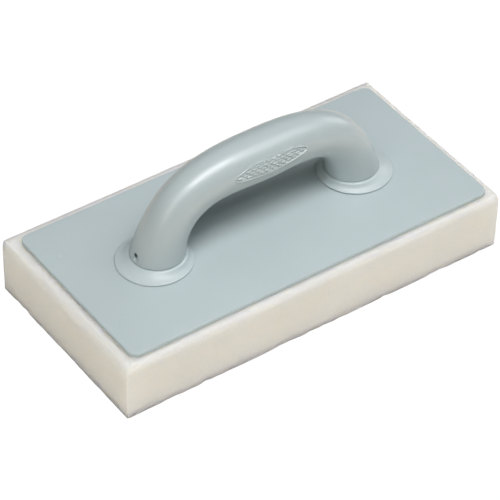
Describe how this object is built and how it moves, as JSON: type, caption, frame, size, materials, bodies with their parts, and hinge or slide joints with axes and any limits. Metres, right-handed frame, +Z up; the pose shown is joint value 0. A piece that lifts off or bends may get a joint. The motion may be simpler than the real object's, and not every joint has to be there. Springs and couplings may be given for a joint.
{
  "type": "sponge grout float",
  "caption": "Hand float with a thick foam pad glued under a thin plastic plate, and a hollow bow handle standing on conical collars.",
  "frame": {"origin": "centre of the foam pad's flat underside, which is the bottom centre of the whole object's box", "axes": "+X along the float's long side and the handle, +Y across the float, +Z up from the foam towards the handle"},
  "size_m": [0.28, 0.14, 0.1078],
  "materials": {
    "cream_foam": "matte",
    "contact_glue": "satin",
    "plate_plastic": "satin",
    "grip_plastic": "satin",
    "collar_plastic": "satin",
    "zinc_steel": "satin"
  },
  "bodies": {
    "root": {"foam_pad": "cream_foam", "glue_layer": "contact_glue", "backing_plate": "plate_plastic", "handle": "grip_plastic", "left_collar": "collar_plastic", "right_collar": "collar_plastic", "left_foot_screw_1": "zinc_steel", "left_foot_screw_2": "zinc_steel", "left_foot_screw_3": "zinc_steel", "left_foot_screw_4": "zinc_steel", "right_foot_screw_1": "zinc_steel", "right_foot_screw_2": "zinc_steel", "right_foot_screw_3": "zinc_steel", "right_foot_screw_4": "zinc_steel"}
  },
  "joints": []
}
